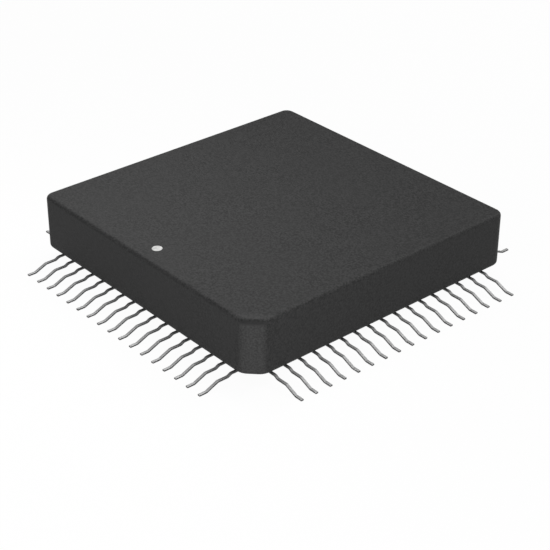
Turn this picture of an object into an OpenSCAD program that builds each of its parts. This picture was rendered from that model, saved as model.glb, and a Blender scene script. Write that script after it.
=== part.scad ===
/* [Body] */
// Side of the square ceramic body
body_w = 24.1; // [20:0.1:32]
// Height of the body, underside to top
body_h = 4.37; // [3.5:0.01:6]
// Gap between the board and the underside of the body
standoff = 0.7; // [0.6:0.01:1]
// Radius of the three plain upright corners
corner_r = 0.75; // [0.5:0.05:1.2]
// Leg of the chamfer on the index corner
index_c = 1.2; // [0.9:0.05:1.5]
// Radius that softens both ends of the index chamfer
index_r = 1.189; // [0.6:0.001:1.4]
// Radius of the rim around the top
top_rim_r = 0.3; // [0.1:0.05:0.45]
// Radius of the rim around the underside
bottom_rim_r = 0.35; // [0.1:0.05:0.45]

/* [First lead mark] */
// Diameter of the painted dot beside the first lead
dot_d = 0.75; // [0.5:0.01:1.5]
// Distance of the dot's centre from the front wall
dot_inset = 1.56; // [1.2:0.01:3]
// Depth of the paint in its dimple
dot_depth = 0.05; // [0.02:0.01:0.2]

/* [Leads] */
// Distance from lead to lead
lead_pitch = 1.27; // [1:0.01:2.54]
// Width of the lead strip
lead_w = 0.22; // [0.15:0.01:0.5]
// Thickness of the lead strip
lead_t = 0.12; // [0.08:0.01:0.2]
// Distance of the lead tips from the body's wall
lead_reach = 2.91; // [2.6:0.01:4]
// Length of the flat foot, from its bend to the tip
foot_l = 0.61; // [0.4:0.01:1]
// Height of the shoulder's underside above the board
shoulder_h = 0.41; // [0.3:0.01:0.46]
// Length of the level shoulder between its two bends
shoulder_l = 0.87; // [0.5:0.01:1.2]
// Slope of the short step from the body down to the shoulder
upper_slope = 30; // [20:1:50]
// Slope of the long step from the shoulder down to the foot
lower_slope = 23; // [20:1:60]
// Bend radius at the middle of the strip, where a step is long enough for it
bend_r = 0.4; // [0.12:0.01:0.6]
// Least distance of the end leads from the body's corners
row_margin = 1.6; // [1.5:0.05:4]

/* [Braze pads] */
// Width of metal pad that shows at each side of its lead
pad_margin = 0.1; // [0.08:0.01:0.3]
// Length of the metal pad, and of the lead's seat on it
pad_l = 0.9; // [0.5:0.05:1.2]
// Distance of the pad from the start of the rounded rim
pad_inset = 0.1; // [0.05:0.05:0.4]
// Thickness of the metal pad
pad_t = 0.02; // [0.01:0.01:0.05]
// Radius of the braze fillet along each side of a lead
braze_r = 0.06; // [0.03:0.01:0.07]

/* [Cavity] */
// Side of the cavity's mouth in the underside
mouth_w = 12.4; // [10:0.1:14]
// Depth of the bonding shelf below the mouth
shelf_depth = 1; // [0.8:0.05:1.4]
// Side of the die pocket inside the shelf
pocket_w = 8.4; // [7.4:0.1:9]
// Depth of the die pocket below the shelf
pocket_depth = 0.5; // [0.3:0.05:0.8]
// Corner radius of the mouth and the pocket
cavity_r = 0.4; // [0.2:0.05:0.8]

/* [Lid] */
// Width of the sealing frame around the mouth
seal_w = 1.2; // [0.8:0.05:1.6]
// Thickness of the sealing frame
seal_t = 0.05; // [0.03:0.01:0.1]
// Thickness of the lid
lid_t = 0.25; // [0.2:0.01:0.4]
// Corner radius of the lid and its seal
lid_r = 0.5; // [0.45:0.05:1]

/* [Die and bonds] */
// Side of the converter die
die_w = 6; // [5:0.1:6.6]
// Thickness of the converter die
die_t = 0.5; // [0.3:0.01:0.6]
// Thickness of the layer that holds the die
attach_t = 0.05; // [0.02:0.01:0.1]
// Distance from the die's edge to its row of bonds
die_bond_inset = 0.2; // [0.15:0.01:0.4]
// Free length at each end of the die's row of bonds
die_row_margin = 0.6; // [0.4:0.05:1]
// Width of a bond finger on the shelf
finger_w = 0.24; // [0.15:0.01:0.3]
// Thickness of a bond finger
finger_t = 0.02; // [0.01:0.01:0.05]
// Distance from the pocket's edge to the fingers
finger_inset = 0.25; // [0.1:0.05:0.4]
// Free length at each end of a row of fingers
finger_row_margin = 0.6; // [0.5:0.05:1]
// Diameter of the bond wire
wire_d = 0.04; // [0.03:0.005:0.06]
// Sag of a wire's loop from the line between its ends
loop_h = 0.35; // [0.2:0.01:0.5]
// Length of the flattened foot at each end of a wire
wire_foot_l = 0.12; // [0.1:0.01:0.16]
// Width of the flattened foot
wire_foot_w = 0.08; // [0.07:0.01:0.1]

/* [Hidden] */
$fn = 64;

// Turn of each row about the body's centre; the front row is the one beside the dot
FRONT = 0;
RIGHT = 90;
BACK = 180;
LEFT = 270;

// How far a cutting shape reaches past what it cuts
past = 0.5;

half_w = body_w / 2;
top_z = standoff + body_h;
// Length that the rounding takes from the index chamfer's legs
index_t = index_r * tan(22.5);

// Places of the leads along a row, with one in the middle
side_count = floor((half_w - row_margin) / lead_pitch);
lead_count = 2 * side_count + 1;

// Width of a pad, and the outward distances of its ends
pad_w = lead_w + 2 * pad_margin;
pad_outer_u = half_w - bottom_rim_r - pad_inset;
pad_inner_u = pad_outer_u - pad_l;

// Heights of the middle of a lead strip: on its pad, at the shoulder and at the foot
root_z = standoff - pad_t - lead_t / 2;
shoulder_z = shoulder_h + lead_t / 2;
foot_z = lead_t / 2;
upper_drop = root_z - shoulder_z;
lower_drop = shoulder_z - foot_z;

// Sloping length of each step, corner to corner, and the share of it that one bend may take
upper_l = upper_drop / sin(upper_slope);
lower_l = lower_drop / sin(lower_slope);
bend_share = 0.45;

// Length that each bend takes from the straight runs beside it, and the radius this leaves it
upper_trim = min(bend_r * tan(upper_slope / 2), bend_share * upper_l);
lower_trim = min(bend_r * tan(lower_slope / 2), bend_share * min(lower_l, foot_l));
upper_r = upper_trim / tan(upper_slope / 2);
lower_r = lower_trim / tan(lower_slope / 2);

// Straight runs of a lead, from its seat on the pad to its tip
upper_run = upper_l - 2 * upper_trim;
shoulder_run = shoulder_l - upper_trim - lower_trim;
lower_run = lower_l - 2 * lower_trim;
foot_run = foot_l - lower_trim;
tip_u = half_w + lead_reach;
root_u = tip_u - foot_l - lower_drop / tan(lower_slope) - shoulder_l - upper_drop / tan(upper_slope);
root_run = root_u - upper_trim - pad_inner_u;

// Heights inside the cavity, which opens downward
shelf_z = standoff + shelf_depth;
floor_z = shelf_z + pocket_depth;
die_face_z = floor_z - attach_t - die_t;
finger_face_z = shelf_z - finger_t;
lid_w = mouth_w + 2 * seal_w;
seal_face_z = standoff - seal_t;

// Rows of bonds on the die and on the shelf
die_bond_u = die_w / 2 - die_bond_inset;
die_bond_pitch = (die_w - 2 * die_row_margin) / (lead_count - 1);
finger_u = pocket_w / 2 + finger_inset;
finger_l = mouth_w / 2 - finger_u;
finger_bond_u = finger_u + wire_foot_l;
finger_pitch = (pocket_w - 2 * finger_row_margin) / (lead_count - 1);

CERAMIC = "#414244";
METAL = "#a9abad";
GOLD = "#c9a349";
PAINT = "#eceae4";
SILICON = "#5b6470";

// Places along one row, at the given pitch
function places(pitch) = [for (i = [-side_count:side_count]) i * pitch];

// A square corner less its inner quarter circle
module rim_section(r) {
  difference() {
    square(r + past);
    circle(r);
  }
}

// Puts a shape on the centre of each plain upright corner
module at_plain_corners() {
  for (turn = [0, 90, 180])
    rotate(turn)
      translate([half_w - corner_r, half_w - corner_r])
        children();
}

// Puts a shape on the sharp point that the index chamfer takes off
module at_index_corner() {
  rotate(-90)
    translate([half_w, half_w])
      children();
}

// What the index chamfer and its two soft ends take off the plan
module index_section() {
  leg = index_c + index_t;
  reach = index_r * cos(45);
  difference() {
    translate([-leg, -leg]) square(leg + past);
    polygon([
      [-leg - past, -leg - past],
      [-leg - past, 0],
      [-leg, 0],
      [-leg + reach, -index_r + reach],
      [-index_r + reach, -leg + reach],
      [0, -leg],
      [0, -leg - past]
    ]);
    translate([-leg, -index_r]) circle(index_r);
    translate([-index_r, -leg]) circle(index_r);
  }
}

// Outline of the body seen from above
module body_plan() {
  difference() {
    square(body_w, center = true);
    at_plain_corners() rim_section(corner_r);
    at_index_corner() index_section();
  }
}

// Takes the sharp edge off a rim all the way round, leaving radius r
module rim_cutters(r) {
  for (turn = [0, 90, 180, 270])
    rotate(turn)
      translate([half_w - r, half_w, 0])
        rotate([90, 0, 0])
          linear_extrude(body_w) rim_section(r);
  at_plain_corners()
    rotate_extrude(angle = 90)
      translate([corner_r - r, 0]) rim_section(r);
  at_index_corner() {
    translate([-index_r, -index_c - index_t])
      rotate_extrude(angle = 45)
        translate([index_r - r, 0]) rim_section(r);
    translate([-index_c - index_t, -index_r])
      rotate(45)
        rotate_extrude(angle = 45)
          translate([index_r - r, 0]) rim_section(r);
    translate([-index_c / 2, -index_c / 2])
      rotate(45)
        translate([-r, index_c, 0])
          rotate([90, 0, 0])
            linear_extrude(2 * index_c) rim_section(r);
  }
}

// A square plate with round corners, standing on z = 0
module square_plate(side, r, thickness) {
  linear_extrude(thickness)
    difference() {
      square(side, center = true);
      for (turn = [0, 90, 180, 270])
        rotate(turn)
          translate([side / 2 - r, side / 2 - r]) rim_section(r);
    }
}

// Stepped cavity for the die, open at the underside
module cavity() {
  translate([0, 0, standoff - past]) square_plate(mouth_w, cavity_r, shelf_depth + past);
  translate([0, 0, shelf_z - past]) square_plate(pocket_w, cavity_r, pocket_depth + past);
}

// Dimple that holds the painted dot
module dot_disc(depth) {
  translate([0, -half_w + dot_inset, top_z - dot_depth])
    cylinder(d = dot_d, h = depth);
}

module package_body() {
  color(CERAMIC)
    difference() {
      translate([0, 0, standoff]) linear_extrude(body_h) body_plan();
      translate([0, 0, top_z - top_rim_r]) rim_cutters(top_rim_r);
      translate([0, 0, standoff + bottom_rim_r])
        mirror([0, 0, 1]) rim_cutters(bottom_rim_r);
      cavity();
      dot_disc(dot_depth + past);
    }
}

module first_lead_dot() {
  color(PAINT) dot_disc(dot_depth);
}

// A straight run of strip along x; what follows goes on from its end
module straight(run) {
  translate([0, -lead_t / 2, -lead_w / 2]) cube([run, lead_t, lead_w]);
  translate([run, 0, 0]) children();
}

// A bend of the strip to radius r, up when a is above zero; what follows goes on in the new direction
module bend(a, r) {
  side = sign(a);
  translate([0, side * r, 0]) {
    rotate(a > 0 ? -90 : 90 + a)
      rotate_extrude(angle = abs(a))
        translate([r - lead_t / 2, -lead_w / 2]) square([lead_t, lead_w]);
    rotate(a)
      translate([0, -side * r, 0]) children();
  }
}

// One lead of the front row, formed from strip: down, level, down, and level again for the foot
module lead() {
  translate([0, -pad_inner_u, root_z])
    rotate([90, 0, -90])
      straight(root_run)
        bend(-upper_slope, upper_r)
          straight(upper_run)
            bend(upper_slope, upper_r)
              straight(shoulder_run)
                bend(-lower_slope, lower_r)
                  straight(lower_run)
                    bend(lower_slope, lower_r)
                      straight(foot_run);
}

module lead_row(turn) {
  color(METAL)
    rotate(turn)
      for (x = places(lead_pitch))
        translate([x, 0, 0]) lead();
}

// Section of a pad, with a hollow fillet of braze below it at each side of the lead
module braze_section() {
  translate([-pad_w / 2, 0]) square([pad_w, pad_t]);
  for (side = [0, 1])
    mirror([side, 0])
      translate([lead_w / 2, -braze_r])
        difference() {
          square([braze_r, braze_r + pad_t / 2]);
          translate([braze_r, 0]) circle(braze_r);
        }
}

module braze_pads(turn) {
  color(GOLD)
    rotate(turn)
      for (x = places(lead_pitch))
        translate([x, -pad_inner_u, standoff - pad_t])
          rotate([90, 0, 0])
            linear_extrude(pad_l) braze_section();
}

module lid() {
  color(METAL)
    translate([0, 0, seal_face_z - lid_t]) square_plate(lid_w, lid_r, lid_t);
}

module lid_seal() {
  color(GOLD)
    difference() {
      translate([0, 0, seal_face_z]) square_plate(lid_w, lid_r, seal_t);
      translate([0, 0, seal_face_z - past]) square_plate(mouth_w, cavity_r, seal_t + 2 * past);
    }
}

module converter_die() {
  color(SILICON)
    translate([-die_w / 2, -die_w / 2, die_face_z]) cube([die_w, die_w, die_t]);
}

module die_attach() {
  color(GOLD)
    translate([-die_w / 2, -die_w / 2, floor_z - attach_t]) cube([die_w, die_w, attach_t]);
}

module bond_fingers(turn) {
  color(GOLD)
    rotate(turn)
      for (x = places(finger_pitch))
        translate([x - finger_w / 2, -finger_u - finger_l, finger_face_z])
          cube([finger_w, finger_l, finger_t]);
}

// The flattened end of a wire
module wire_foot() {
  cube([wire_foot_l, wire_foot_w, wire_d], center = true);
}

// One wire, from the origin to a point run away and fall lower, its loop hanging down
module bond_wire(run, fall) {
  chord = norm([run, fall]);
  half_turn = 2 * atan(2 * loop_h / chord);
  loop_r = chord / 2 / sin(half_turn);
  wire_foot();
  translate([run, 0, -fall]) wire_foot();
  rotate([0, atan2(fall, run), 0])
    translate([chord / 2, 0, loop_r * cos(half_turn)])
      rotate([90, 0, 0])
        rotate(-90 - half_turn)
          rotate_extrude(angle = 2 * half_turn)
            translate([loop_r, 0]) circle(d = wire_d);
}

// Wires from the die's bonds out to the fingers of one row
module bond_wires(turn) {
  start_z = die_face_z - wire_d / 2;
  end_z = finger_face_z - wire_d / 2;
  color(METAL)
    rotate(turn)
      for (i = [-side_count:side_count]) {
        start = [i * die_bond_pitch, -die_bond_u];
        end = [i * finger_pitch, -finger_bond_u];
        way = end - start;
        translate([start[0], start[1], start_z])
          rotate(atan2(way[1], way[0]))
            bond_wire(norm(way), start_z - end_z);
      }
}

package_body();
first_lead_dot();
lead_row(FRONT);  // lead_row_front
lead_row(RIGHT);  // lead_row_right
lead_row(BACK);  // lead_row_back
lead_row(LEFT);  // lead_row_left
braze_pads(FRONT);  // braze_pads_front
braze_pads(RIGHT);  // braze_pads_right
braze_pads(BACK);  // braze_pads_back
braze_pads(LEFT);  // braze_pads_left
lid();
lid_seal();
converter_die();
die_attach();
bond_fingers(FRONT);  // bond_fingers_front
bond_fingers(RIGHT);  // bond_fingers_right
bond_fingers(BACK);  // bond_fingers_back
bond_fingers(LEFT);  // bond_fingers_left
bond_wires(FRONT);  // bond_wires_front
bond_wires(RIGHT);  // bond_wires_right
bond_wires(BACK);  // bond_wires_back
bond_wires(LEFT);  // bond_wires_left
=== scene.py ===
"""Looks of an analog-to-digital converter chip in a leaded ceramic chip carrier.

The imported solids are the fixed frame. The ceramic body, the first-lead dot, the
brazed pads, the lid and what the cavity holds keep their solids and get their
finishes here. The formed leads are swept again with rounded edges, along the same
route as the solids that they stand for. Lengths are in metres.
"""

import math

import bmesh
import bpy
from bpy.props import (
    FloatProperty,
    FloatVectorProperty,
    IntProperty,
    PointerProperty,
)
from mathutils import Matrix, Vector


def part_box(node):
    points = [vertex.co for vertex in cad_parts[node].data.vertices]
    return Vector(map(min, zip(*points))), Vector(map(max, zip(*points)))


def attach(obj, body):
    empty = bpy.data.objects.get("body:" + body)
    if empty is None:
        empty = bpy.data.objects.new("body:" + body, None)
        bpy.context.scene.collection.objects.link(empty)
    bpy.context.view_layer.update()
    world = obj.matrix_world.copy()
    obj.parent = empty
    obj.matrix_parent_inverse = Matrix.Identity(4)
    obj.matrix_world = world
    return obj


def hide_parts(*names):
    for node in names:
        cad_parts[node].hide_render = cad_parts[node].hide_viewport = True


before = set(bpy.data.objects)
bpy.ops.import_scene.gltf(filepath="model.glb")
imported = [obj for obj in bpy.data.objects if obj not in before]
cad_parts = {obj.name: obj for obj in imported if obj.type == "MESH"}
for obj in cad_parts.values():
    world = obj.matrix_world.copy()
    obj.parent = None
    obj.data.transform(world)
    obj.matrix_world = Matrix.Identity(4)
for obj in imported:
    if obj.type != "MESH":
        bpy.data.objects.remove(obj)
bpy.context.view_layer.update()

bl_info = {
    "name": "Converter chip looks",
    "version": (1, 0, 0),
    "blender": (4, 5, 0),
    "location": "3D View > Sidebar > Converter Chip",
    "description": "Finishes, formed leads and studio of a ceramic converter chip",
    "category": "Object",
}

MM = 0.001
UM = 0.000001

# Boxes of the solids that the finishes and the leads are laid out from
BODY_LOW, BODY_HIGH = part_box("package_body")
ROW_LOW, ROW_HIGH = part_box("lead_row_right")
CHIP_MIDDLE = (0.0, 0.0, BODY_HIGH.z / 2)

# Leg of the chamfer at the body's index corner
INDEX_CUT = 1.2 * MM

# Each row of leads: the way the leads point, and the way the row runs
ROWS = {
    "front": (Vector((0, -1, 0)), Vector((1, 0, 0))),
    "right": (Vector((1, 0, 0)), Vector((0, 1, 0))),
    "back": (Vector((0, 1, 0)), Vector((-1, 0, 0))),
    "left": (Vector((-1, 0, 0)), Vector((0, -1, 0))),
}

# Square lamps of the studio: where each stands and how wide it is, and for the lamp
# with a grid also what it is aimed at and how far its light spreads
SOFTBOXES = {
    "front": {"place": (0.06, -0.052, 0.008), "size": 0.04},
    "top": {"place": (-0.02, 0.017, 0.299), "size": 0.2},
    "back": {"place": (0.037, 0.209, 0.212), "size": 0.15},
    "edge": {
        "place": (-0.0437, 0.0148, 0.0916),
        "size": 0.03,
        "aim": (-0.006, -0.018, 0.005),
        "spread": math.radians(40),
    },
}

# Width of the camera's sensor in millimetres, as Blender takes it
SENSOR_WIDTH = 36.0


# Values that a user would change


def length_property(name, description, default, precision=5):
    """One length of a piece."""
    return FloatProperty(
        name=name,
        description=description,
        default=default,
        unit="LENGTH",
        precision=precision,
    )


def angle_property(name, description, degrees):
    """One angle, written in degrees."""
    return FloatProperty(
        name=name,
        description=description,
        default=math.radians(degrees),
        subtype="ANGLE",
    )


def level_property(name, description, default):
    """The light of one lamp, or of the sky."""
    return FloatProperty(
        name=name,
        description=description,
        default=default,
        min=0.0,
    )


def colour_property(name, description, colour):
    """A colour of one finish, as linear values."""
    return FloatVectorProperty(
        name=name,
        description=description,
        default=colour,
        subtype="COLOR",
        size=3,
        min=0.0,
        max=1.0,
    )


class ChipLeadSizes(bpy.types.PropertyGroup):
    """Sizes of the formed leads, the values that the solids are built from."""

    count: IntProperty(
        name="Leads a side",
        description="Leads in each of the four rows",
        default=17,
        min=2,
    )
    width: length_property(
        "Width", "Width of a lead, along its row", 0.22 * MM
    )
    thickness: length_property(
        "Thickness", "Thickness of the strip that a lead is formed from", 0.12 * MM
    )
    edge_radius: length_property(
        "Edge radius", "Rounding of the strip's long edges", 0.02 * MM, precision=6
    )
    tip_radius: length_property(
        "Tip radius", "Rounding round a lead's cut ends", 0.015 * MM, precision=6
    )
    bend_radius: length_property(
        "Bend radius", "Radius of the centre line in each bend", 0.4 * MM
    )
    seat: length_property(
        "Seat", "Distance from the body's centre to a lead's brazed end", ROW_LOW.x
    )
    tip: length_property(
        "Tip", "Distance from the body's centre to a lead's free end", ROW_HIGH.x
    )
    seat_top: length_property(
        "Seat top", "Height of the face that is brazed under the body", ROW_HIGH.z
    )
    row_length: length_property(
        "Row length",
        "From the outer edge of the first lead to that of the last",
        ROW_HIGH.y - ROW_LOW.y,
    )
    shoulder_height: length_property(
        "Shoulder height", "Clear height under the level shoulder", 0.41 * MM
    )
    shoulder_length: length_property(
        "Shoulder length", "Length of the level shoulder", 0.87 * MM
    )
    foot_length: length_property(
        "Foot length", "Length of the flat foot that is soldered down", 0.61 * MM
    )
    upper_slope: angle_property(
        "Upper slope", "Fall of a lead between the body and the shoulder", 30
    )
    lower_slope: angle_property(
        "Lower slope", "Fall of a lead between the shoulder and the foot", 23
    )


class ChipColours(bpy.types.PropertyGroup):
    """Base colours of the chip's finishes."""

    ceramic: colour_property(
        "Ceramic", "Pressed and fired black ceramic", (0.027, 0.027, 0.027)
    )
    paint: colour_property(
        "Dot paint", "White paint of the dot", (0.62, 0.62, 0.61)
    )
    lead: colour_property(
        "Lead face", "Dipped face of a lead", (0.405, 0.405, 0.405)
    )
    # Colour of the painted shade on a lead's cut sides and ends
    lead_side_shade: colour_property(
        "Lead edge", "Cut edge of a lead", (0.085, 0.085, 0.085)
    )
    braze: colour_property("Braze", "Brazed pads", (0.62, 0.6, 0.54))
    lid: colour_property("Lid", "Plated lid", (0.72, 0.53, 0.22))
    seal: colour_property(
        "Seal", "Solder seal of the lid, and the layer under the die", (0.7, 0.56, 0.3)
    )
    finger: colour_property("Bond finger", "Plated bond fingers", (0.72, 0.53, 0.2))
    die: colour_property("Die", "Face of the silicon die", (0.1, 0.12, 0.15))
    wire: colour_property("Bond wire", "Drawn bond wire", (0.78, 0.78, 0.79))


class ChipStage(bpy.types.PropertyGroup):
    """Camera, lamps and floor of the studio."""

    eye: FloatVectorProperty(
        name="Eye",
        description="Where the camera stands",
        default=(75.309 * MM, -64.604 * MM, 57.234 * MM),
        subtype="XYZ",
        unit="LENGTH",
        size=3,
    )
    azimuth: angle_property(
        "Azimuth", "Turn of the camera round the chip, from its front row", 49.227
    )
    elevation: angle_property(
        "Elevation", "How far the camera looks down", 30.44
    )
    roll: angle_property(
        "Roll", "Turn of the camera about its own axis", 0.198
    )
    lens: FloatProperty(
        name="Lens",
        description="Focal length on a sensor 36 mm wide",
        default=99.857,
        unit="CAMERA",
    )
    front_level: level_property(
        "Front level",
        "Light of the low lamp in front, 1 shows a white face as white",
        0.651,
    )
    top_level: level_property(
        "Top level",
        "Light of the overhead lamp, 1 shows a white face as white",
        0.354,
    )
    back_level: level_property(
        "Back level",
        "Light of the lamp behind, 1 shows a white face as white",
        0.408,
    )
    edge_level: level_property(
        "Edge level",
        "Light of the small lamp that a grid narrows onto the front edge",
        0.029,
    )
    sky_level: level_property(
        "Sky level", "Faint even light from all round", 0.15
    )
    floor_colour: colour_property("Floor", "Pale floor", (0.86, 0.86, 0.86))
    floor_bounce: colour_property(
        "Floor bounce", "Floor as it lights the chip", (0.12, 0.12, 0.12)
    )
    floor_white: FloatProperty(
        name="Floor white",
        description="Share of plain white in the floor that the camera sees",
        default=0.96,
        subtype="FACTOR",
        min=0.0,
        max=1.0,
    )


# Node materials


def shade(colour, factor=1.0):
    """A colour made lighter or darker, with its alpha."""
    return tuple(min(1.0, c * factor) for c in colour[:3]) + (1.0,)


class Nodes:
    """A procedural material, with short ways to add nodes and link them."""

    def __init__(self, name):
        self.material = bpy.data.materials.new(name)
        self.material.use_nodes = True
        self.tree = self.material.node_tree
        self.tree.nodes.clear()
        self.surface = self.node("ShaderNodeOutputMaterial").inputs["Surface"]

    def node(self, kind, **settings):
        """Adds a node and sets what it is given."""
        made = self.tree.nodes.new(kind)
        for key, value in settings.items():
            setattr(made, key, value)
        return made

    def join(self, source, target):
        """Links one socket to another."""
        self.tree.links.new(source, target)

    def feed(self, value, target):
        """Links a socket, or sets a plain value."""
        if isinstance(value, bpy.types.NodeSocket):
            self.join(value, target)
        else:
            target.default_value = value

    def math(self, operation, *values):
        """One step of arithmetic."""
        made = self.node("ShaderNodeMath", operation=operation)
        for value, target in zip(values, made.inputs):
            self.feed(value, target)
        return made.outputs["Value"]

    def mix(self, share, first, second):
        """Two colours mixed by a share."""
        made = self.node("ShaderNodeMix", data_type="RGBA")
        self.feed(share, made.inputs[0])
        self.feed(first, made.inputs[6])
        self.feed(second, made.inputs[7])
        return made.outputs[2]

    def blend(self, share, first, second):
        """Two shaders mixed by a share."""
        made = self.node("ShaderNodeMixShader")
        for source, target in zip((share, first, second), made.inputs):
            self.join(source, target)
        return made.outputs["Shader"]


class Finish(Nodes):
    """A material on one principled shader, laid out in the row frame."""

    def __init__(self, name, metallic=0.0, specular=0.5):
        super().__init__(name)
        self.shader = self.node("ShaderNodeBsdfPrincipled")
        self.shader.inputs["Metallic"].default_value = metallic
        self.shader.inputs["Specular IOR Level"].default_value = specular
        self.join(self.shader.outputs["BSDF"], self.surface)
        self.place = self.node("ShaderNodeTexCoord").outputs["Object"]

    def axis(self, vector, name):
        """One component of a vector."""
        made = self.node("ShaderNodeSeparateXYZ")
        self.join(vector, made.inputs["Vector"])
        return made.outputs[name]

    def reach(self, vector, name):
        """One component of a vector, without its sign."""
        return self.math("ABSOLUTE", self.axis(vector, name))

    def noise(self, per_metre, detail=2.0, roughness=0.5, stretch=None):
        """Noise from 0 to 1, stretched along an axis where a scale is given."""
        source = self.place
        if stretch:
            mapping = self.node("ShaderNodeMapping")
            mapping.inputs["Scale"].default_value = stretch
            self.join(source, mapping.inputs["Vector"])
            source = mapping.outputs["Vector"]
        made = self.node("ShaderNodeTexNoise")
        self.join(source, made.inputs["Vector"])
        made.inputs["Scale"].default_value = per_metre
        made.inputs["Detail"].default_value = detail
        made.inputs["Roughness"].default_value = roughness
        return made.outputs["Fac"]

    def span(self, value, low, high, to=(0.0, 1.0)):
        """Carries a value from one range to another along a smooth step."""
        made = self.node("ShaderNodeMapRange", interpolation_type="SMOOTHSTEP")
        self.feed(value, made.inputs["Value"])
        made.inputs["From Min"].default_value = low
        made.inputs["From Max"].default_value = high
        made.inputs["To Min"].default_value = to[0]
        made.inputs["To Max"].default_value = to[1]
        return made.outputs["Result"]

    def bump(self, pattern, height, strength, under=None):
        """A bump of the given height in metres, over an earlier one if there is one."""
        made = self.node("ShaderNodeBump")
        made.inputs["Strength"].default_value = strength
        made.inputs["Distance"].default_value = height
        self.join(pattern, made.inputs["Height"])
        if under is not None:
            self.join(under, made.inputs["Normal"])
        return made.outputs["Normal"]

    def set(self, socket, value):
        """Sets or links one socket of the shader."""
        self.feed(value, self.shader.inputs[socket])

    def mottle(self, pattern, colour, tones, roughness, height, strength):
        """Lets one pattern drive the tone, the roughness and the bump together."""
        dark, light = (shade(colour, factor) for factor in tones)
        self.set("Base Color", self.mix(pattern, dark, light))
        self.set("Roughness", self.span(pattern, 0.3, 0.7, to=roughness))
        self.set("Normal", self.bump(pattern, height, strength))


def ceramic_finish(colour):
    """Fired black ceramic: pressed grain and faint clouds, with painted light on the
    index chamfer, a painted highlight on the top beside it and a painted shade line
    under the rim over the chamfer.
    """
    made = Finish("pressed_black_ceramic", specular=0.25)
    grain = made.noise(per_metre=7600, detail=2.0, roughness=0.6)
    cloud = made.noise(per_metre=230, detail=3.0, roughness=0.55)
    speckle = made.span(grain, 0.28, 0.72)

    def grained(dark, light):
        return made.mix(speckle, shade(colour, dark), shade(colour, light))

    # Where the index chamfer, the top beside it and the rim over it are
    x, y, z = (made.axis(made.place, name) for name in "XYZ")
    toward_index = made.math("SUBTRACT", x, y)
    chamfer = BODY_HIGH.x - BODY_LOW.y - INDEX_CUT
    top = BODY_HIGH.z
    on_chamfer = made.span(toward_index, chamfer - 0.3 * MM, chamfer - 0.02 * MM)
    beside_chamfer = made.span(toward_index, chamfer - 1.3 * MM, chamfer - 0.6 * MM)
    on_top = made.span(z, top - 0.2 * MM, top - 0.1 * MM)
    ragged_z = made.math(
        "ADD", z, made.span(grain, 0.3, 0.7, to=(-0.07 * MM, 0.07 * MM))
    )
    on_rim = made.span(ragged_z, top - 0.52 * MM, top - 0.22 * MM)

    clouded = made.span(cloud, 0.3, 0.7, to=(0.0, 0.3))
    tone = made.mix(clouded, grained(0.25, 1.75), shade(colour, 1.1))
    # Painted highlight: the top beside the index corner is made lighter, standing in
    # for a glint along the rim
    index_top_glint = made.math("MULTIPLY", beside_chamfer, on_top)
    tone = made.mix(index_top_glint, tone, grained(0.7, 2.0))
    # Painted light on the index chamfer's face, and a painted shade line under the rim
    # over it
    local_patch = made.mix(on_rim, grained(0.95, 2.5), grained(0.2, 0.9))
    made.set("Base Color", made.mix(on_chamfer, tone, local_patch))
    made.set("Roughness", made.span(grain, 0.25, 0.75, to=(0.58, 0.76)))
    waves = made.bump(cloud, height=12 * UM, strength=0.25)
    made.set("Normal", made.bump(grain, height=14 * UM, strength=0.9, under=waves))
    return made.material


def paint_finish(colour):
    """Stamped white paint, thin and slightly uneven."""
    made = Finish("first_lead_paint", specular=0.3)
    patch = made.noise(per_metre=2600, detail=3.0, roughness=0.6)
    thick = made.span(patch, 0.35, 0.65)
    made.set("Base Color", made.mix(thick, shade(colour, 0.8), shade(colour, 1.12)))
    made.set("Roughness", made.span(patch, 0.3, 0.7, to=(0.5, 0.68)))
    made.set("Normal", made.bump(patch, height=8 * UM, strength=0.5))
    return made.material


def lead_finish(name, run, across, face, edge):
    """Dipped lead metal: drawn lines along it, bright faces, painted shade on the cut
    sides and ends and by the body's wall, and lighter toward the tip, partly painted
    light.
    """
    made = Finish(name, metallic=1.0)
    stretch = tuple(0.06 if axis == run else 1.0 for axis in "XYZ")
    drawn = made.noise(per_metre=26000, detail=2.0, roughness=0.5, stretch=stretch)
    dip = made.noise(per_metre=3200, detail=2.0, roughness=0.55)

    # Painted shade by the body's wall, where the leads run into the shadow under the
    # body, and a lighter tone toward the tip that is partly a thicker dip and partly
    # painted light
    out = made.reach(made.place, run)
    wall = BODY_HIGH.x
    tip = ROW_HIGH.x
    wall_shade = made.span(out, wall, wall + 0.8 * MM, to=(0.72, 0.0))
    dip_and_tip_light = made.span(out, tip - 0.86 * MM, tip - 0.46 * MM, to=(0.0, 0.5))

    # Painted shade on the faces that were cut: the two sides of the strip and its ends,
    # picked out by their normals
    normal = made.node("ShaderNodeNewGeometry").outputs["Normal"]
    side = made.span(made.reach(normal, across), 0.55, 0.95)
    end = made.span(made.reach(normal, run), 0.7, 0.97)
    side_shade = made.math("MAXIMUM", side, end)

    tone = made.mix(drawn, shade(face, 0.9), shade(face, 1.08))
    uneven = made.span(dip, 0.3, 0.7, to=(0.0, 0.4))
    tone = made.mix(uneven, tone, shade(face, 0.82))
    # Painted shade by the body's wall
    tone = made.mix(wall_shade, tone, shade(face, 0.25))
    # Lighter toward the tip: partly a thicker dip, partly painted light on the feet
    tone = made.mix(dip_and_tip_light, tone, shade(face, 1.1))
    # The cut sides and ends take the darker edge colour, a painted shade
    made.set("Base Color", made.mix(side_shade, tone, shade(edge)))
    made.set("Roughness", made.span(dip, 0.25, 0.75, to=(0.6, 0.72)))
    waves = made.bump(dip, height=3 * UM, strength=0.3)
    made.set("Normal", made.bump(drawn, height=0.8 * UM, strength=0.4, under=waves))
    return made.material


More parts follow.
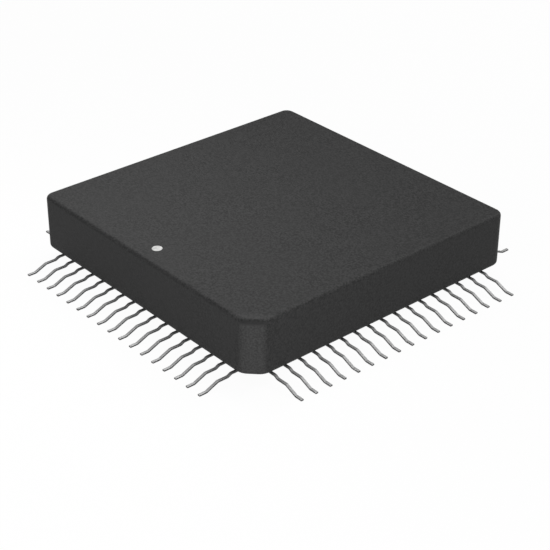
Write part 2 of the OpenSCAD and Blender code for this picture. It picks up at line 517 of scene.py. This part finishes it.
def braze_finish(colour):
    """Plated braze: soft lumps where the filler has flowed round a lead."""
    made = Finish("flowed_braze", metallic=1.0)
    flow = made.noise(per_metre=3800, detail=2.0, roughness=0.5)
    fine = made.noise(per_metre=15000, detail=2.0, roughness=0.6)
    made.set("Base Color", made.mix(flow, shade(colour, 0.82), shade(colour, 1.1)))
    made.set("Roughness", made.span(fine, 0.3, 0.7, to=(0.34, 0.52)))
    made.set("Normal", made.bump(flow, height=6 * UM, strength=0.5))
    return made.material


def lid_finish(colour):
    """Plated lid: rolled lines one way, soft clouding and a few rub marks."""
    made = Finish("plated_lid", metallic=1.0)
    rolled = made.noise(
        per_metre=9000, detail=3.0, roughness=0.6, stretch=(0.03, 1.0, 1.0)
    )
    cloud = made.noise(per_metre=240, detail=3.0, roughness=0.55)
    rub = made.noise(
        per_metre=1400, detail=2.0, roughness=0.5, stretch=(1.0, 0.12, 1.0)
    )
    tone = made.mix(rolled, shade(colour, 0.92), shade(colour, 1.06))
    clouded = made.span(cloud, 0.3, 0.75, to=(0.0, 0.5))
    made.set("Base Color", made.mix(clouded, tone, shade(colour, 0.84)))
    plain = made.span(rolled, 0.25, 0.75, to=(0.24, 0.36))
    local_patch = made.span(rub, 0.6, 0.8, to=(0.0, 0.12))
    made.set("Roughness", made.math("ADD", plain, local_patch))
    made.set("Normal", made.bump(rolled, height=1.5 * UM, strength=0.6))
    return made.material


def seal_finish(colour):
    """Gold-tin solder that has flowed out round the lid."""
    made = Finish("lid_solder_seal", metallic=1.0)
    made.mottle(
        made.noise(per_metre=1900, detail=3.0, roughness=0.6),
        colour,
        tones=(0.75, 1.08),
        roughness=(0.38, 0.56),
        height=10 * UM,
        strength=0.6,
    )
    return made.material


def finger_finish(colour):
    """Printed and plated bond fingers, with the weave of the print in them."""
    made = Finish("plated_bond_finger", metallic=1.0)
    made.mottle(
        made.noise(per_metre=12000, detail=2.0, roughness=0.6),
        colour,
        tones=(0.85, 1.08),
        roughness=(0.3, 0.46),
        height=2 * UM,
        strength=0.6,
    )
    return made.material


def die_finish(colour):
    """Silicon under its glass: blocks of circuit in slightly different tones."""
    made = Finish("die_face", metallic=0.25, specular=0.6)
    blocks = made.node("ShaderNodeTexBrick", offset=0.35, squash=0.6)
    made.join(made.place, blocks.inputs["Vector"])
    for socket, value in (
        ("Color1", shade(colour, 0.8)),
        ("Color2", shade(colour, 1.35)),
        ("Mortar", shade(colour, 2.2)),
        ("Scale", 1000.0),
        ("Mortar Size", 0.012),
        ("Brick Width", 0.9),
        ("Row Height", 0.55),
    ):
        blocks.inputs[socket].default_value = value
    cells = made.noise(
        per_metre=32000, detail=1.0, roughness=0.5, stretch=(1.0, 0.2, 1.0)
    )
    filled = made.span(cells, 0.4, 0.6, to=(0.0, 0.3))
    tone = made.mix(filled, blocks.outputs["Color"], shade(colour, 1.8))
    made.set("Base Color", tone)
    made.set("Roughness", made.span(cells, 0.3, 0.7, to=(0.18, 0.3)))
    made.set("Normal", made.bump(cells, height=0.6 * UM, strength=0.4))
    return made.material


def attach_finish(colour):
    """Thin layer that holds the die, squeezed out unevenly."""
    made = Finish("die_attach_layer", metallic=1.0)
    made.mottle(
        made.noise(per_metre=2800, detail=3.0, roughness=0.6),
        colour,
        tones=(0.6, 0.95),
        roughness=(0.42, 0.6),
        height=6 * UM,
        strength=0.6,
    )
    return made.material


def wire_finish(colour):
    """Bright drawn wire."""
    made = Finish("drawn_bond_wire", metallic=1.0)
    made.mottle(
        made.noise(per_metre=60000, detail=2.0, roughness=0.5),
        colour,
        tones=(0.9, 1.05),
        roughness=(0.2, 0.32),
        height=0.5 * UM,
        strength=0.4,
    )
    return made.material


def floor_finish(colour, bounce, white):
    """Pale floor that shows as white, keeps a shadow and is open from below."""
    made = Nodes("pale_floor")
    made.material.cycles.emission_sampling = "NONE"
    path = made.node("ShaderNodeLightPath")
    seen = path.outputs["Is Camera Ray"]
    for name in ("Is Glossy Ray", "Is Transmission Ray"):
        seen = made.math("MAXIMUM", seen, path.outputs[name])
    card = made.node("ShaderNodeBsdfDiffuse")
    made.join(made.mix(seen, shade(bounce), shade(colour)), card.inputs["Color"])
    glow = made.node("ShaderNodeEmission").outputs["Emission"]
    share = made.math("MULTIPLY", seen, white)
    pale = made.blend(share, card.outputs["BSDF"], glow)
    below = made.node("ShaderNodeNewGeometry").outputs["Backfacing"]
    clear = made.node("ShaderNodeBsdfTransparent").outputs["BSDF"]
    made.join(made.blend(below, pale, clear), made.surface)
    return made.material


def dress(nodes, material):
    """Puts one finish on solids of the frame."""
    for name in nodes:
        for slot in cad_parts[name].material_slots:
            slot.material = material


def smooth_object(name, mesh):
    """Makes a smooth-shaded object of the scene from a mesh under construction."""
    for face in mesh.faces:
        face.smooth = True
    data = bpy.data.meshes.new(name)
    mesh.to_mesh(data)
    mesh.free()
    made = bpy.data.objects.new(name, data)
    bpy.context.scene.collection.objects.link(made)
    return made


# Formed leads


def lead_corners(sizes):
    """Corner points of a lead's centre line, as distance outward and height."""
    half = sizes.thickness / 2
    root_z = sizes.seat_top - half
    shoulder_z = sizes.shoulder_height + half
    foot_z = half
    foot_u = sizes.tip - sizes.foot_length
    drop_u = foot_u - (shoulder_z - foot_z) / math.tan(sizes.lower_slope)
    shoulder_u = drop_u - sizes.shoulder_length
    root_u = shoulder_u - (root_z - shoulder_z) / math.tan(sizes.upper_slope)
    return [
        Vector((sizes.seat, root_z)),
        Vector((root_u, root_z)),
        Vector((shoulder_u, shoulder_z)),
        Vector((drop_u, shoulder_z)),
        Vector((foot_u, foot_z)),
        Vector((sizes.tip, foot_z)),
    ]


def ahead_of(heading):
    """Unit vector along a heading."""
    return Vector((math.cos(heading), math.sin(heading)))


def left_of(heading):
    """Unit vector square to a heading, on its left."""
    return Vector((-math.sin(heading), math.cos(heading)))


def bent_route(corners, radius, steps):
    """Points and headings along the route, with each corner turned on a radius."""
    headings = [
        math.atan2(after.y - before.y, after.x - before.x)
        for before, after in zip(corners, corners[1:])
    ]
    route = [(corners[0], headings[0])]
    for corner, start, end in zip(corners[1:-1], headings, headings[1:]):
        turn = end - start
        side = math.copysign(radius, turn)
        trim = radius * math.tan(abs(turn) / 2)
        entry = corner - trim * ahead_of(start)
        centre = entry + side * left_of(start)
        for step in range(steps + 1):
            heading = start + turn * step / steps
            route.append((centre - side * left_of(heading), heading))
    route.append((corners[-1], headings[-1]))
    return route


def strip_section(sizes, inset, steps=4):
    """Rounded outline of the strip, as distance across and through it."""
    radius = sizes.edge_radius - inset
    across = sizes.width / 2 - sizes.edge_radius
    through = sizes.thickness / 2 - sizes.edge_radius
    outline = []
    for quarter, (side, face) in enumerate(((1, 1), (-1, 1), (-1, -1), (1, -1))):
        for step in range(steps + 1):
            angle = (quarter + step / steps) * math.pi / 2
            outline.append(
                (
                    side * across + radius * math.cos(angle),
                    face * through + radius * math.sin(angle),
                )
            )
    return outline


def end_rings(point, heading, outward, rounding, steps=3):
    """Stations of the sweep that round one end off, the last one at its face."""
    along = outward * ahead_of(heading)
    rings = []
    for step in range(steps + 1):
        angle = step / steps * math.pi / 2
        back = rounding * (1 - math.sin(angle))
        inset = rounding * (1 - math.cos(angle))
        rings.append((point - back * along, heading, inset))
    return rings


def lead_rings(sizes, bend_steps=8):
    """Stations of the sweep: point, heading and inset of the outline."""
    route = bent_route(lead_corners(sizes), sizes.bend_radius, bend_steps)
    first = end_rings(*route[0], -1, sizes.tip_radius)
    middle = [(point, heading, 0.0) for point, heading in route[1:-1]]
    last = end_rings(*route[-1], 1, sizes.tip_radius)
    return first[::-1] + middle + last


def sweep_lead(mesh, sizes, rings, outward, along_row, offset):
    """Adds one lead to a mesh: a closed strip swept along its rings."""
    loops = []
    for point, heading, inset in rings:
        normal = left_of(heading)
        loop = []
        for across, through in strip_section(sizes, inset):
            spot = point + through * normal
            place = outward * spot.x + along_row * (offset + across)
            loop.append(mesh.verts.new(place + Vector((0, 0, spot.y))))
        loops.append(loop)
    for near, far in zip(loops, loops[1:]):
        for here in range(len(near)):
            there = (here + 1) % len(near)
            mesh.faces.new((near[here], near[there], far[there], far[here]))
    mesh.faces.new(loops[0][::-1])
    mesh.faces.new(loops[-1])


def make_lead_row(name, sizes, outward, along_row):
    """One row of formed leads as a mesh object."""
    mesh = bmesh.new()
    rings = lead_rings(sizes)
    pitch = (sizes.row_length - sizes.width) / (sizes.count - 1)
    for number in range(sizes.count):
        offset = (number - (sizes.count - 1) / 2) * pitch
        sweep_lead(mesh, sizes, rings, outward, along_row, offset)
    bmesh.ops.recalc_face_normals(mesh, faces=mesh.faces)
    row = smooth_object(name, mesh)
    row.modifiers.new("Flat faces", "WEIGHTED_NORMAL").weight = 90
    return row


# Studio


def add_softbox(name, level, place, size, aim=CHIP_MIDDLE, spread=math.pi):
    """A square lamp at a place, whose level at the aim is 1 for a white surface."""
    lamp = bpy.data.lights.new(name, "AREA")
    lamp.shape = "SQUARE"
    lamp.size = size
    lamp.spread = spread
    reach = Vector(aim) - Vector(place)
    lamp.energy = level * math.pi ** 2 * reach.length_squared
    holder = bpy.data.objects.new(name, lamp)
    holder.location = place
    holder.rotation_euler = reach.to_track_quat("-Z", "Y").to_euler()
    holder.visible_camera = False
    bpy.context.scene.collection.objects.link(holder)


def make_floor(radius, cove, height, below, steps=16, sides=96):
    """A round floor that sweeps up into a low wall all round."""
    flat = radius - cove
    profile = [(radius * 0.1, 0.0), (flat, 0.0)]
    for step in range(1, steps + 1):
        angle = step / steps * math.pi / 2
        profile.append((flat + cove * math.sin(angle), cove * (1 - math.cos(angle))))
    profile.append((radius, height))
    turns = [2 * math.pi * side / sides for side in range(sides)]
    mesh = bmesh.new()
    centre = mesh.verts.new((0, 0, -below))
    loops = [
        [
            mesh.verts.new((out * math.cos(turn), out * math.sin(turn), up - below))
            for turn in turns
        ]
        for out, up in profile
    ]
    for side in range(sides):
        following = (side + 1) % sides
        mesh.faces.new((centre, loops[0][side], loops[0][following]))
        for near, far in zip(loops, loops[1:]):
            mesh.faces.new((near[side], far[side], far[following], near[following]))
    return smooth_object("studio_floor", mesh)


def set_sky(level):
    """Even grey light from all round."""
    world = bpy.data.worlds.new("studio_sky")
    world.use_nodes = True
    background = world.node_tree.nodes["Background"]
    background.inputs["Color"].default_value = (1.0, 1.0, 1.0, 1.0)
    background.inputs["Strength"].default_value = level
    bpy.context.scene.world = world


def place_camera(stage):
    """The camera, where the photograph was taken from."""
    data = bpy.data.cameras.new("studio_camera")
    data.lens = stage.lens
    data.sensor_width = SENSOR_WIDTH
    data.clip_start = 0.005
    data.clip_end = 20.0
    camera = bpy.data.objects.new("studio_camera", data)
    back = Vector(
        (
            math.sin(stage.azimuth) * math.cos(stage.elevation),
            -math.cos(stage.azimuth) * math.cos(stage.elevation),
            math.sin(stage.elevation),
        )
    )
    right = Vector((0, 0, 1)).cross(back).normalized()
    up = back.cross(right)
    turned_right = math.cos(stage.roll) * right + math.sin(stage.roll) * up
    turned_up = math.cos(stage.roll) * up - math.sin(stage.roll) * right
    axes = Matrix((turned_right, turned_up, back)).transposed()
    camera.matrix_world = Matrix.Translation(stage.eye) @ axes.to_4x4()
    bpy.context.scene.collection.objects.link(camera)
    bpy.context.scene.camera = camera


# Operators, one for each piece or group of like pieces


class CHIP_OT_finish_body(bpy.types.Operator):
    """Give the ceramic body its fired and pressed finish"""

    bl_idname = "chip.finish_body"
    bl_label = "Finish Ceramic Body"

    def execute(self, context):
        dress(["package_body"], ceramic_finish(context.scene.chip_colours.ceramic))
        return {"FINISHED"}


class CHIP_OT_finish_dot(bpy.types.Operator):
    """Give the first-lead dot its stamped paint"""

    bl_idname = "chip.finish_dot"
    bl_label = "Finish First-Lead Dot"

    def execute(self, context):
        dress(["first_lead_dot"], paint_finish(context.scene.chip_colours.paint))
        return {"FINISHED"}


class CHIP_OT_form_leads(bpy.types.Operator):
    """Sweep the four rows of formed leads with rounded edges"""

    bl_idname = "chip.form_leads"
    bl_label = "Form Leads"

    def execute(self, context):
        sizes = context.scene.chip_leads
        if sizes.edge_radius <= sizes.tip_radius:
            raise ValueError("the edge radius has to be larger than the tip radius")
        colours = context.scene.chip_colours
        finishes = {
            run: lead_finish(
                f"dipped_lead_metal_{run.lower()}",
                run,
                across,
                colours.lead,
                colours.lead_side_shade,
            )
            for run, across in (("X", "Y"), ("Y", "X"))
        }
        for side, (outward, along_row) in ROWS.items():
            row = make_lead_row(f"formed_leads_{side}", sizes, outward, along_row)
            row.data.materials.append(finishes["X" if outward.x else "Y"])
            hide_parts(f"lead_row_{side}")
            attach(row, "root")
        return {"FINISHED"}


class CHIP_OT_finish_pads(bpy.types.Operator):
    """Give the brazed pads under the body their flowed metal"""

    bl_idname = "chip.finish_pads"
    bl_label = "Finish Braze Pads"

    def execute(self, context):
        braze = braze_finish(context.scene.chip_colours.braze)
        dress([f"braze_pads_{side}" for side in ROWS], braze)
        return {"FINISHED"}


class CHIP_OT_finish_lid(bpy.types.Operator):
    """Give the lid its plating and the seal its solder"""

    bl_idname = "chip.finish_lid"
    bl_label = "Finish Lid and Seal"

    def execute(self, context):
        colours = context.scene.chip_colours
        dress(["lid"], lid_finish(colours.lid))
        dress(["lid_seal"], seal_finish(colours.seal))
        return {"FINISHED"}


class CHIP_OT_finish_die(bpy.types.Operator):
    """Give the die its circuit face and the layer under it its metal"""

    bl_idname = "chip.finish_die"
    bl_label = "Finish Die"

    def execute(self, context):
        colours = context.scene.chip_colours
        dress(["converter_die"], die_finish(colours.die))
        dress(["die_attach"], attach_finish(colours.seal))
        return {"FINISHED"}


class CHIP_OT_finish_bonds(bpy.types.Operator):
    """Give the bond fingers their plating and the wires their drawn metal"""

    bl_idname = "chip.finish_bonds"
    bl_label = "Finish Bond Fingers and Wires"

    def execute(self, context):
        colours = context.scene.chip_colours
        dress([f"bond_fingers_{side}" for side in ROWS], finger_finish(colours.finger))
        dress([f"bond_wires_{side}" for side in ROWS], wire_finish(colours.wire))
        return {"FINISHED"}


class CHIP_OT_set_stage(bpy.types.Operator):
    """Set the floor, the lamps and the camera"""

    bl_idname = "chip.set_stage"
    bl_label = "Set Stage"

    def execute(self, context):
        stage = context.scene.chip_stage
        floor = make_floor(radius=2.0, cove=0.4, height=0.7, below=0.02 * MM)
        floor.data.materials.append(
            floor_finish(stage.floor_colour, stage.floor_bounce, stage.floor_white)
        )
        for name, lamp in SOFTBOXES.items():
            add_softbox(f"{name}_softbox", getattr(stage, f"{name}_level"), **lamp)
        set_sky(stage.sky_level)
        place_camera(stage)
        context.scene.view_settings.view_transform = "Standard"
        return {"FINISHED"}


class CHIP_PT_looks(bpy.types.Panel):
    """The chip's pieces and its studio, in the order in which they are made"""

    bl_label = "Converter Chip"
    bl_idname = "CHIP_PT_looks"
    bl_space_type = "VIEW_3D"
    bl_region_type = "UI"
    bl_category = "Converter Chip"

    def draw(self, context):
        for operator in OPERATORS:
            self.layout.operator(operator.bl_idname)
        for group in GROUPS:
            box = self.layout.box()
            values = getattr(context.scene, group)
            for name in values.__annotations__:
                box.prop(values, name)


GROUPS = {
    "chip_leads": ChipLeadSizes,
    "chip_colours": ChipColours,
    "chip_stage": ChipStage,
}
OPERATORS = (
    CHIP_OT_finish_body,
    CHIP_OT_finish_dot,
    CHIP_OT_form_leads,
    CHIP_OT_finish_pads,
    CHIP_OT_finish_lid,
    CHIP_OT_finish_die,
    CHIP_OT_finish_bonds,
    CHIP_OT_set_stage,
)


def register():
    """Registers the classes and hangs the values on the scene."""
    for name, group in GROUPS.items():
        bpy.utils.register_class(group)
        setattr(bpy.types.Scene, name, PointerProperty(type=group))
    for item in (*OPERATORS, CHIP_PT_looks):
        bpy.utils.register_class(item)


def unregister():
    """Takes away what register() has added."""
    for item in reversed((*OPERATORS, CHIP_PT_looks)):
        bpy.utils.unregister_class(item)
    for name, group in reversed(GROUPS.items()):
        delattr(bpy.types.Scene, name)
        bpy.utils.unregister_class(group)


def main():
    """Makes every piece and the stage."""
    register()
    bpy.ops.chip.finish_body()
    bpy.ops.chip.finish_dot()
    bpy.ops.chip.form_leads()
    bpy.ops.chip.finish_pads()
    bpy.ops.chip.finish_lid()
    bpy.ops.chip.finish_die()
    bpy.ops.chip.finish_bonds()
    bpy.ops.chip.set_stage()


if __name__ == "__main__":
    main()
